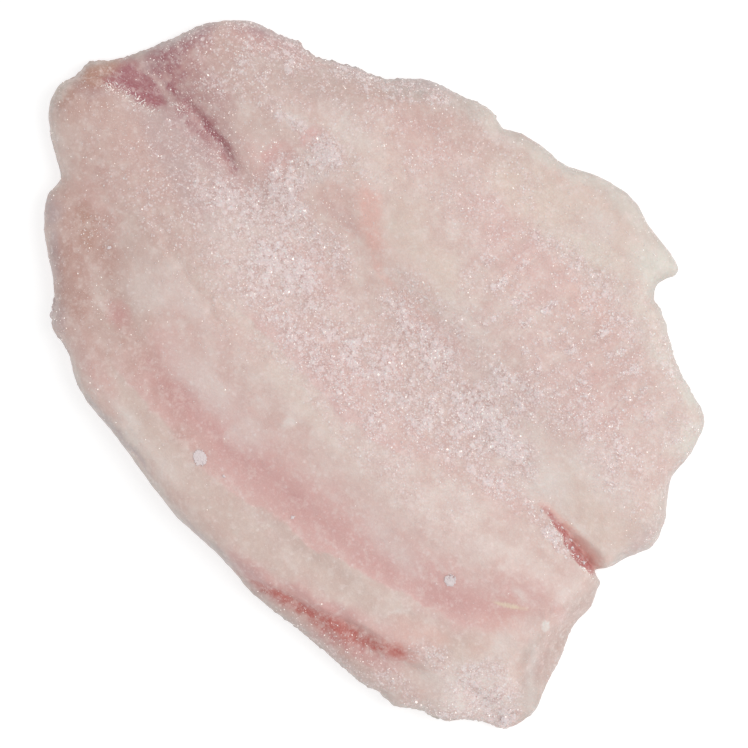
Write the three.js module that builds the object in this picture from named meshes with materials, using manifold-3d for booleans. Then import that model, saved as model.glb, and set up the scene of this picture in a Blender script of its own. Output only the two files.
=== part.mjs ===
// A frozen, skinless tilapia fillet, lying flat with its cut side up.
//
// Millimetres, +Z up. +X runs from the tail end to the head end, +Y from the back (dorsal) edge to the belly
// edge, and the origin is under the middle of the fillet on the surface that it rests on. The fillet is one
// solid: a thick loin on the dorsal side, a thinner belly lobe, the midline groove between them, and the slit
// that removing the pin bones leaves at the head end.

import * as THREE from "three";
import { mergeVertices } from "three/addons/utils/BufferGeometryUtils.js";
import Module from "manifold-3d";

const wasm = await Module();
wasm.setup();

// ---- Driving dimensions ----

const LENGTH = 180; // tail tip to head corner, along X
const WIDTH = 126.4; // dorsal edge to belly edge, along Y

// The outline seen from above, anticlockwise from the mouth of the slit. Each stretch names its own corners.
const BELLY_HEAD_END = [
  [77.2, 4.2], [79.8, 13.5], [77, 20], [71.2, 26.8], [69.8, 35], [66.3, 41.6],
];
const BELLY_FLAP_EDGE = [
  [60, 43.5], [53.5, 45], [45.5, 48.9], [40.5, 51.1], [38, 51.2],
  // the torn hook of thin flap
  [36, 54], [36.7, 57.4], [37.8, 59.6], [33.5, 61.3],
  [25, 62], [18.5, 63.2], [9.5, 61.4], [1.2, 56.9], [-7, 55.6], [-11.5, 53.8], [-14.6, 51.7],
];
const BELLY_TAIL_EDGE = [
  [-18.5, 52.8], [-27, 49.5], [-34.5, 46.3], [-38.5, 42], [-41.2, 38.8], [-46.3, 36.7], [-57.2, 30.2],
  [-60, 30.5], [-64, 28.6], [-71.5, 25.2],
];
const TAIL_END = [
  [-77, 19], [-80.8, 8], [-84.5, -1.5], [-89.3, -9.7], [-88.6, -12.5], [-90, -17], [-87, -23],
];
const DORSAL_TAIL_EDGE = [
  [-79, -28.3], [-73.4, -31.2], [-72.7, -36.4], [-67, -42.2], [-60, -46.4], [-53.2, -51.2], [-50, -55.1],
  [-43.6, -56.2],
];
const DORSAL_EDGE = [
  [-34.5, -60.3], [-20, -61.4], [0.5, -63.2], [17, -61.9], [26, -62.1], [42, -59.3], [59.4, -57],
  [63, -55.7], [67.5, -55.3], [71.8, -51.2], [75.5, -50.1], [78, -48.1], [82, -43.8], [88.6, -39.5],
];
const HEAD_CUT = [
  [90, -32.5], [87.6, -27], [85.1, -20], [81.3, -12.5], [81, -7], [78.2, -1.4],
];

// Lines that run the fillet's length. Each is a crest or a valley of the top, given by its distance from the
// midline and its height above the table at these five places along X.
const STATION_X = [-80, -40, 0, 40, 80];
const LINES = {
  dorsalShoulder: { y: [-30, -53, -56, -47, -34], z: [7.5, 11.5, 13.2, 13, 10.5] },
  redValley: { y: [-27, -42, -45, -36, -19], z: [7.6, 11.4, 13, 13.6, 12] },
  loinCrest: { y: [-17, -25, -26, -22, -11], z: [9.2, 13.8, 16.4, 16.8, 13.6] },
  groove: { y: [0, 1.5, 3.2, 1.6, 0], z: [5.8, 8.4, 9.6, 10.4, 9.4] },
  bellyCrest: { y: [12, 20, 19, 19, 14], z: [8.4, 10.6, 12.4, 12, 10.2] },
  bellyRim: { y: [22, 38, 50, 46, 28], z: [6.6, 7.2, 7, 7.4, 8] },
};

// Local relief of the top.
const TAIL_GASH = { fromX: -84, toX: -44, fade: 10, offset: -1.5, endHalfWidth: 6.5, halfWidth: 2.6, depth: 2 };
const BELLY_CREASE = { fromX: -38, toX: 22, fade: 12, y: 9.5, halfWidth: 3, depth: 0.6 };
const BLOOD_LEDGE = { from: [18, -60.5], to: [62, -44], width: 3, drop: 2.8, fade: 10 };
const FLAP_STEP = { fromX: -24, toX: 34, fade: 8, y: [43, 42, 50], width: 3.5, drop: 1.1 };

// The rounded edge: how far in it reaches, and how high above the table the widest line is. The dorsal edge
// turns into the belly edge over a band about the midline, and both are lower at the tail.
const DORSAL_ROUND = { reach: 6.2, widest: 4.4 };
const BELLY_ROUND = { reach: 6, widest: 1.9 };
const UNDERSIDE_ROUND = 3.2;
const EDGE_CHANGE = { fromY: -12, toY: 12 };
const TAIL_EDGE = { fromX: -90, toX: -60, reachShare: 0.7, widestShare: 0.6 };
const HEAD_BEVEL = { fromX: 74, toX: 82, fromY: -48, toY: -40, reach: 11, widest: 2.6, flatness: 0.7 };

// The slit, from its closed tip to past the edge. The loin's wall is upright, the belly's flank slopes away
// from the foot of it, and the foot drops towards the edge.
const SLIT = {
  tip: { x: 54, wall: 1.2, foot: 10.9 },
  end: { x: 84, wall: -1.6, foot: 1.2 },
  footWidth: 0.3,
  flankSlope: 0.9, // sideways for each millimetre up
  height: 30,
};
// The torn corner that opens the slit's mouth down through the underside, as an upright wedge.
const MOUTH = [[74.3, -0.8], [84, -1.8], [84, 14]];

// The mesh is rings round a heart. Close rings follow the edge at these insets, then rings close in on a core
// ellipse, and the last ones run from the core to the heart. Every ray from the heart meets the outline once.
const STATIONS = 224;
const EDGE_INSETS = [0.45, 1.4, 2.9, 5];
const UNDERSIDE_INSETS = [0.5, 1.5, UNDERSIDE_ROUND];
const HEART = new THREE.Vector3(-34, 8, 0);
const CORE = { x: 4, y: 0, halfLength: 60, halfWidth: 14 };
const OUTER_RINGS = 6; // with every station
const INNER_RINGS = 7; // with every second station, to the core
const CORE_RINGS = 8;

// ---- Curves and fields ----

const clamp01 = (t) => Math.min(1, Math.max(0, t));
const smooth = (t) => clamp01(t) ** 2 * (3 - 2 * clamp01(t));
const rise = (value, from, to) => smooth((value - from) / (to - from));
const mix = (a, b, t) => a + (b - a) * t;

// A value given at evenly spaced places, read smoothly anywhere between them.
function along(values, t) {
  const last = values.length - 1;
  const place = clamp01(t) * last;
  const i = Math.min(last - 1, Math.floor(place));
  const at = (k) => values[Math.min(last, Math.max(0, k))];
  const f = place - i;
  const slopeIn = (at(i + 1) - at(i - 1)) / 2;
  const slopeOut = (at(i + 2) - at(i)) / 2;
  const h = f * f * (3 - 2 * f);
  return mix(at(i), at(i + 1), h) + f * (1 - f) * ((1 - f) * slopeIn - f * slopeOut);
}

const stationShare = (x) => (x - STATION_X[0]) / (STATION_X.at(-1) - STATION_X[0]);

const corners = [
  ...BELLY_HEAD_END, ...BELLY_FLAP_EDGE, ...BELLY_TAIL_EDGE, ...TAIL_END, ...DORSAL_TAIL_EDGE,
  ...DORSAL_EDGE, ...HEAD_CUT,
].map(([x, y]) => new THREE.Vector3(x, y, 0));

// Evenly spaced points of the outline, with the driving length and width as its extents about the origin.
function outlinePoints() {
  const curve = new THREE.CatmullRomCurve3(corners, true, "centripetal");
  curve.arcLengthDivisions = 4 * STATIONS;
  const points = curve.getSpacedPoints(STATIONS).slice(0, STATIONS);
  const box = new THREE.Box3().setFromPoints(points);
  const fit = new THREE.Vector3(LENGTH, WIDTH, 1).divide(box.getSize(new THREE.Vector3()).setZ(1));
  const middle = box.getCenter(new THREE.Vector3());
  return points.map((p) => p.sub(middle).multiply(fit));
}

const outline = outlinePoints();

// How far a point is from the outline.
function edgeDistance(x, y) {
  let least = Infinity;
  for (let i = 0; i < STATIONS; i++) {
    const a = outline[i];
    const b = outline[(i + 1) % STATIONS];
    const dx = b.x - a.x;
    const dy = b.y - a.y;
    const t = clamp01(((x - a.x) * dx + (y - a.y) * dy) / (dx * dx + dy * dy));
    least = Math.min(least, Math.hypot(x - a.x - t * dx, y - a.y - t * dy));
  }
  return least;
}

// The top between its crests and valleys, before the edge is rounded.
function lineHeight(x, y) {
  const share = stationShare(x);
  const lines = Object.values(LINES).map((line) => ({ y: along(line.y, share), z: along(line.z, share) }));
  if (y <= lines[0].y) return lines[0].z;
  for (let i = 1; i < lines.length; i++)
    if (y <= lines[i].y) {
      const below = lines[i - 1];
      return mix(below.z, lines[i].z, smooth((y - below.y) / (lines[i].y - below.y)));
    }
  return lines.at(-1).z;
}

// 1 inside a stretch of X, falling smoothly to 0 over `fade` outside it.
const within = (x, fromX, toX, fade) => rise(x, fromX - fade, fromX) * rise(-x, -toX - fade, -toX);
const furrow = (offset, halfWidth) => Math.exp(-((offset / halfWidth) ** 2));

// The groove is deepest and widest where it runs out at the tail.
function tailGash(x, y) {
  const { fromX, toX, fade, offset, endHalfWidth, halfWidth, depth } = TAIL_GASH;
  const centre = along(LINES.groove.y, stationShare(x)) + offset;
  const half = mix(endHalfWidth, halfWidth, rise(x, fromX, toX));
  return depth * within(x, fromX, toX, fade) * furrow(y - centre, half);
}

function bellyCrease(x, y) {
  const { fromX, toX, fade, y: centre, halfWidth, depth } = BELLY_CREASE;
  return depth * within(x, fromX, toX, fade) * furrow(y - centre, halfWidth);
}

// The ledge below the blood-red gash, where the fin was cut away.
function bloodLedge(x, y) {
  const { from, to, width, drop, fade } = BLOOD_LEDGE;
  const t = (x - from[0]) / (to[0] - from[0]);
  const upper = mix(from[1], to[1], t);
  return drop * within(x, from[0], to[0], fade) * smooth((upper - y) / width);
}

// The step down to the thin flap along the belly edge.
function flapStep(x, y) {
  const { fromX, toX, fade, y: ys, width, drop } = FLAP_STEP;
  const lower = along(ys, (x - fromX) / (toX - fromX));
  return drop * within(x, fromX, toX, fade) * smooth((y - lower) / width);
}

const reliefHeight = (x, y) =>
  lineHeight(x, y) - tailGash(x, y) - bellyCrease(x, y) - bloodLedge(x, y) - flapStep(x, y);

// The rounding that holds near a point: dorsal, belly or the bevelled head cut.
function roundingAt(x, y) {
  const belly = rise(y, EDGE_CHANGE.fromY, EDGE_CHANGE.toY);
  const tail = 1 - rise(x, TAIL_EDGE.fromX, TAIL_EDGE.toX);
  const { fromX, toX, fromY, toY } = HEAD_BEVEL;
  const head = (1 - belly) * rise(x, fromX, toX) * rise(y, fromY, toY);
  const reach = mix(DORSAL_ROUND.reach, BELLY_ROUND.reach, belly) * mix(1, TAIL_EDGE.reachShare, tail);
  const widest = mix(DORSAL_ROUND.widest, BELLY_ROUND.widest, belly) * mix(1, TAIL_EDGE.widestShare, tail);
  return {
    reach: mix(reach, HEAD_BEVEL.reach, head),
    widest: mix(widest, HEAD_BEVEL.widest, head),
    flatness: HEAD_BEVEL.flatness * head,
  };
}

function topHeight(x, y) {
  const { reach, widest, flatness } = roundingAt(x, y);
  const inward = clamp01(edgeDistance(x, y) / reach);
  const quarterRound = Math.sqrt(1 - (1 - inward) ** 2);
  return mix(widest, reliefHeight(x, y), mix(quarterRound, smooth(inward), flatness));
}

function undersideHeight(x, y) {
  const inward = clamp01(edgeDistance(x, y) / UNDERSIDE_ROUND);
  return roundingAt(x, y).widest * (1 - Math.sqrt(1 - (1 - inward) ** 2));
}

// ---- The solid ----

const inset = (p, distance) => p.clone().lerp(HEART, distance / p.distanceTo(HEART));

// Where the ray from the heart towards a point leaves the core ellipse.
function onCore(p) {
  const ray = p.clone().sub(HEART).normalize();
  const { x, y, halfLength, halfWidth } = CORE;
  const from = new THREE.Vector2((HEART.x - x) / halfLength, (HEART.y - y) / halfWidth);
  const step = new THREE.Vector2(ray.x / halfLength, ray.y / halfWidth);
  const a = step.dot(step);
  const b = from.dot(step);
  const reach = (-b + Math.sqrt(b * b - a * (from.dot(from) - 1))) / a;
  return HEART.clone().addScaledVector(ray, reach);
}

const everySecond = (points) => points.filter((_, i) => i % 2 === 0);

// Collects rings of vertices and the triangles between them.
class Skin {
  positions = [];
  triangles = [];

  ring(points, height) {
    const first = this.positions.length / 3;
    for (const p of points) this.positions.push(p.x, p.y, height(p.x, p.y));
    return { first, count: points.length };
  }

  // Joins an outer ring to an inner one of the same number of points, or of half as many.
  join(outer, inner, facingUp) {
    const step = outer.count / inner.count;
    for (let i = 0; i < inner.count; i++) {
      const o = (k) => outer.first + ((i * step + k) % outer.count);
      const a = inner.first + i;
      const b = inner.first + ((i + 1) % inner.count);
      for (let k = 0; k < step; k++) this.face(o(k), o(k + 1), k < step / 2 ? a : b, facingUp);
      this.face(o(Math.ceil(step / 2)), b, a, facingUp);
    }
  }

  face(a, b, c, facingUp) {
    this.triangles.push(...(facingUp ? [a, b, c] : [a, c, b]));
  }

  geometry() {
    const g = new THREE.BufferGeometry();
    g.setAttribute("position", new THREE.Float32BufferAttribute(this.positions, 3));
    g.setIndex(this.triangles);
    return g;
  }
}

// The top: close rings at the edge, then rings to the core and on to the heart.
function addTop(skin, edge) {
  let outer = edge;
  const addRing = (points) => {
    const ring = skin.ring(points, topHeight);
    skin.join(outer, ring, true);
    outer = ring;
  };
  for (const distance of EDGE_INSETS) addRing(outline.map((p) => inset(p, distance)));

  const rim = outline.map((p) => inset(p, EDGE_INSETS.at(-1)));
  const toCore = OUTER_RINGS + INNER_RINGS;
  for (let k = 1; k <= toCore; k++) {
    const points = k <= OUTER_RINGS ? rim : everySecond(rim);
    addRing(points.map((p) => p.clone().lerp(onCore(p), k / toCore)));
  }
  const core = everySecond(rim).map(onCore);
  for (let k = 1; k < CORE_RINGS; k++) addRing(core.map((p) => p.clone().lerp(HEART, k / CORE_RINGS)));

  const heart = skin.ring([HEART], topHeight);
  for (let i = 0; i < outer.count; i++)
    skin.face(outer.first + i, outer.first + ((i + 1) % outer.count), heart.first, true);
}

// The underside: a rounded margin, then one flat face to rest on.
function addUnderside(skin, edge) {
  let outer = edge;
  let points = outline;
  for (const distance of UNDERSIDE_INSETS) {
    points = outline.map((p) => inset(p, distance));
    const flat = distance === UNDERSIDE_INSETS.at(-1);
    const ring = skin.ring(points, flat ? () => 0 : undersideHeight);
    skin.join(outer, ring, false);
    outer = ring;
  }
  const flatOutline = points.map((p) => new THREE.Vector2(p.x, p.y));
  for (const [a, b, c] of THREE.ShapeUtils.triangulateShape(flatOutline, []))
    skin.face(outer.first + a, outer.first + b, outer.first + c, false);
}

function fleshGeometry() {
  const skin = new Skin();
  const edge = skin.ring(outline, (x, y) => roundingAt(x, y).widest);
  addTop(skin, edge);
  addUnderside(skin, edge);
  return skin.geometry();
}

// Joins two rings of three points into a closed prism. Each ring is anticlockwise seen from the second one.
function prismGeometry(first, second) {
  const g = new THREE.BufferGeometry();
  g.setAttribute("position", new THREE.Float32BufferAttribute([...first, ...second].flat(), 3));
  const sides = [0, 1, 2].flatMap((i) => {
    const j = (i + 1) % 3;
    return [i, j, j + 3, i, j + 3, i + 3];
  });
  g.setIndex([0, 2, 1, 3, 4, 5, ...sides]);
  return g;
}

// The slit's space, from its foot to above the fillet.
function slitGeometry() {
  const { tip, end, footWidth, flankSlope, height } = SLIT;
  const section = ({ x, wall, foot }) => [
    [x, wall, foot],
    [x, wall + footWidth + flankSlope * (height - foot), height],
    [x, wall, height],
  ];
  return prismGeometry(section(tip), section(end));
}

function mouthGeometry() {
  const at = (z) => MOUTH.map(([x, y]) => [x, y, z]);
  return prismGeometry(at(-SLIT.height), at(SLIT.height));
}

function toManifold(geometry) {
  const merged = mergeVertices(geometry, 1e-4);
  return new wasm.Manifold(
    new wasm.Mesh({
      numProp: 3,
      vertProperties: new Float32Array(merged.attributes.position.array),
      triVerts: new Uint32Array(merged.index.array),
    }),
  );
}

function fromManifold(solid) {
  const { vertProperties, triVerts } = solid.getMesh();
  const g = new THREE.BufferGeometry();
  g.setAttribute("position", new THREE.Float32BufferAttribute(vertProperties, 3));
  g.setIndex(new THREE.BufferAttribute(triVerts, 1));
  g.computeVertexNormals();
  return g;
}

const flesh = new THREE.MeshStandardMaterial({ color: 0xdcc3bc, roughness: 0.5, metalness: 0 });
const cut = toManifold(slitGeometry()).add(toManifold(mouthGeometry()));
const fillet = new THREE.Mesh(fromManifold(toManifold(fleshGeometry()).subtract(cut)), flesh);
fillet.name = "fillet";

const root = new THREE.Group();
root.add(fillet);

export default root;
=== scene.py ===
"""The looks of a frozen tilapia fillet: flesh over its solid, frost on the flesh, and a plain stage."""

import math
import random

import bmesh
import bpy
import numpy as np
from bpy.props import FloatProperty, FloatVectorProperty, IntProperty, PointerProperty
from mathutils import Matrix, Vector, noise
from mathutils.bvhtree import BVHTree
from mathutils.kdtree import KDTree


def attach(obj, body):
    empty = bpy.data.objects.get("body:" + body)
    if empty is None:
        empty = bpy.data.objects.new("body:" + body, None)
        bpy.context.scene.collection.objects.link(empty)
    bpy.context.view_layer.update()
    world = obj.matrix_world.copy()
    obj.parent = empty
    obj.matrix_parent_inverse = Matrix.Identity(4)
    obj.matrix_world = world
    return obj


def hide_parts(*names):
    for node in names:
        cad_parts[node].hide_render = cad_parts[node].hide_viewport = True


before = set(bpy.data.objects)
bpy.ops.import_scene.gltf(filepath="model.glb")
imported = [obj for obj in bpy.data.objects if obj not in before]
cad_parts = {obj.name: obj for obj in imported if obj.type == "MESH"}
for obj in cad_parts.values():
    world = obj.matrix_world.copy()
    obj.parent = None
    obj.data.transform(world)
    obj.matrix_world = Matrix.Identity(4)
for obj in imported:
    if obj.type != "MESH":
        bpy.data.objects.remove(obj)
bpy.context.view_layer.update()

bl_info = {
    "name": "Frozen Tilapia Fillet",
    "version": (1, 0, 0),
    "blender": (4, 5, 0),
    "location": "3D View > Sidebar > Fillet",
    "description": "Builds the flesh, the frost and the stage of a frozen tilapia fillet",
    "category": "Object",
}

NODE = "fillet"
BODY = "root"
MM = 0.001
MOST_TRIANGLES = 199_000
# What thinning is asked for, since it can end a little above that.
THINNED_TRIANGLES = 0.97 * MOST_TRIANGLES

# Places on the fillet are in millimetres: x from the tail to the head, y from the dorsal to the belly
# edge. These lines run along x.
SEPTUM = [(-52, -40), (-40, -42), (-25, -44), (-8, -43.5), (8, -42.5), (20, -40.5), (32, -38), (45, -34),
          (58, -28.5), (66, -24), (71, -19.5), (77, -14.5)]
BAND_STEP = [(-22, -50.5), (0, -50), (10, -48.5), (18, -45.6), (26, -44.5), (32, -42.7), (40, -40.3),
             (48, -37), (53, -34.3), (60, -32), (70, -28)]
MEMBRANE_STEP = [(-28, -20.5), (-10, -20), (0, -19.5), (12, -19), (20, -17.5), (25, -15.5), (30, -13),
                 (40, -12)]
GASH_CLIFF = [(16, -60.6), (22, -59.6), (27, -57.6), (33, -55), (38.5, -52), (45, -49), (50.5, -47.2),
              (55.5, -44.8), (61, -43.4)]
GASH_CORE = [(20, -61.4), (25, -60), (30, -58), (34, -56.4), (38, -55), (42, -53.6), (46, -52), (50, -50.4),
             (54, -48.2), (58, -46.2), (61, -44.6)]
FLAP_LINE = [(-26, 45), (-20, 44), (-10, 42), (0, 40.5), (8, 41.5), (14, 44), (20, 44.5), (26, 47),
             (33, 50)]
TAIL_GROOVE = [(-76, 0.6), (-70, 1.4), (-64, 2.0), (-58, 1.8), (-52, 1.1), (-47, 0.1)]
TAIL_LIP = [(-86, -11.5), (-83, -7), (-78, -4.6), (-74, -3.4), (-70, -2.2)]
CENTRE_CREASE = [(-34, 11), (-24, 9.8), (-15, 10.2), (-5, 8.2), (8, 7.5), (22, 8)]
LOIN_CREASE = [(-56, -20), (-50, -21), (-40, -24.5), (-30, -25), (-20, -27)]
SLIT_WALL = [(50, 1.6), (54, 1.2), (84, -1.6)]
HEAD_CREST = [(68, -10), (73, -14.6), (77, -17.8), (81.5, -23), (88, -29)]
LATERAL = [(-85, -8), (-40, -3), (0, 0), (40, 0), (80, -3)]

# The spacing of the rib marks, and the spacing and width of the underside's chevrons of muscle, in
# millimetres.
RIB_PITCH = 5.2
MYOMERE_PITCH = 6.5
CHEVRON_WIDTH = 44

# How soft a patch's edge is, as a share of its size, where its row doesn't say.
SOFT = 0.6

# The seed of the snow lumps' grains, and how wide the faces of the lumps and of the clear ice are.
SNOW_SEED = 3
SNOW_CELL = 0.1 * MM
ICE_CELL = 0.16 * MM

# The picture looks straight down, and is turned from the fillet's length. The sensor is in millimetres.
PICTURE_TURN = math.radians(48)
PICTURE_MIDDLE = Vector((7.70, -7.79, 3)) * MM
SENSOR_WIDTH = 36
# The lamp and the floor are in metres. The lamp's turn is from the x axis.
LAMP_TURN = math.radians(50)
LAMP_AWAY = 0.7
LAMP_UP = 0.95
LAMP_WIDTH = 0.9
FLOOR_HALF_WIDTH = 4.0
FLOOR_DROP = 0.02 * MM


def rise(value, start, end):
    """0 before start, 1 after end, and smooth between."""
    t = np.clip((value - start) / (end - start), 0, 1)
    return t * t * (3 - 2 * t)


def span(value, start, end, fade):
    """1 between start and end, fading out over `fade` beyond them."""
    return rise(value, start - fade, start) * (1 - rise(value, end, end + fade))


def bell(offset, width):
    return np.exp(-((offset / width) ** 2))


def line_at(x, points):
    """The y of a line at each x, eased through its points, and level beyond its ends."""
    px, py = np.array(points, float).T
    slope = np.gradient(py, px)
    x = np.clip(x, px[0], px[-1])
    i = np.clip(np.searchsorted(px, x) - 1, 0, len(px) - 2)
    run = px[i + 1] - px[i]
    t = (x - px[i]) / run
    return (
        py[i] * (1 + 2 * t) * (1 - t) ** 2
        + slope[i] * run * t * (1 - t) ** 2
        + py[i + 1] * t * t * (3 - 2 * t)
        + slope[i + 1] * run * t * t * (t - 1)
    )


def noise_at(points, grain, seed):
    """Smooth noise from about -1 to 1 at points in mm, with features about `grain` mm across."""
    shift = Vector((17.3, 5.1, 9.7)) * seed
    return np.array([noise.fractal(Vector(p) / grain + shift, 1.0, 2.0, 2) for p in points])


def heaps_at(points, grain, seed):
    """Round heaps that lie side by side, about `grain` mm across: 1 in their middles, 0 between them."""
    shift = Vector((11.1, 7.3, 3.9)) * seed
    nearest = np.array([noise.voronoi(Vector(p) / grain + shift)[0][0] for p in points])
    return np.clip(1 - nearest / 0.75, 0, 1)


def vectors_of(items, key):
    """One vector of each item of a mesh, as rows."""
    values = np.empty(len(items) * 3, np.float32)
    items.foreach_get(key, values)
    return values.reshape(-1, 3).astype(float)


class Skin:
    """A skin's vertices in mm, with the noises and measures that relief and colours are worked from."""

    def __init__(self, mesh):
        self.co = vectors_of(mesh.vertices, "co") / MM
        self.normal = vectors_of(mesh.vertex_normals, "vector")
        self.x, self.y = self.co[:, 0], self.co[:, 1]
        self.top = rise(self.normal[:, 2], 0.0, 0.5)
        self.under = rise(-self.normal[:, 2], 0.3, 0.8)
        self.side = (1 - self.top) * (1 - self.under)
        self.broad = noise_at(self.co, 13, 1)
        self.middling = noise_at(self.co, 5, 2)
        self.small = noise_at(self.co, 1.9, 3)
        self.fine = noise_at(self.co, 0.9, 6)
        self.heaps = np.maximum(heaps_at(self.co, 2.4, 7), 0.85 * heaps_at(self.co, 1.3, 8))
        # Lines and patches are looked up at places that wander, which keeps them from looking drawn.
        self.wx = self.x + 2.0 * noise_at(self.co, 8, 4)
        self.wy = self.y + 1.4 * noise_at(self.co, 7, 5) + 0.5 * self.small

    def inland(self):
        """How far each place lies from the nearest steep side, in mm, seen from above."""
        rim = self.co[np.abs(self.normal[:, 2]) < 0.3]
        tree = KDTree(len(rim))
        for i, (x, y, _) in enumerate(rim):
            tree.insert((x, y, 0), i)
        tree.balance()
        return np.array([tree.find((x, y, 0))[2] for x, y in self.co[:, :2]])

    def wandered(self, share):
        """The x and y of each place, with a share of their wandering."""
        return self.x + share * (self.wx - self.x), self.y + share * (self.wy - self.y)

    def past(self, line, wander=1.0):
        """How far a place lies on the belly side of a line, in mm: less than 0 on the dorsal side."""
        x, y = self.wandered(wander)
        return y - line_at(x, line)

    def patch(self, x, y, half_x, half_y, turn=0, soft=SOFT):
        """1 inside an ellipse, with a soft edge that wanders. `turn` is in degrees."""
        c, s = math.cos(math.radians(turn)), math.sin(math.radians(turn))
        wx, wy = self.wandered(soft / SOFT)
        along = (wx - x) * c + (wy - y) * s
        across = (wy - y) * c - (wx - x) * s
        reach = np.hypot(along / half_x, across / half_y)
        return 1 - rise(reach, 1 - soft, 1 + soft)

    def patches(self, kind):
        """The strongest of the patches of one kind."""
        return np.max([share * self.patch(*ellipse) for share, *ellipse in PATCHES[kind]], axis=0)


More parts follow.
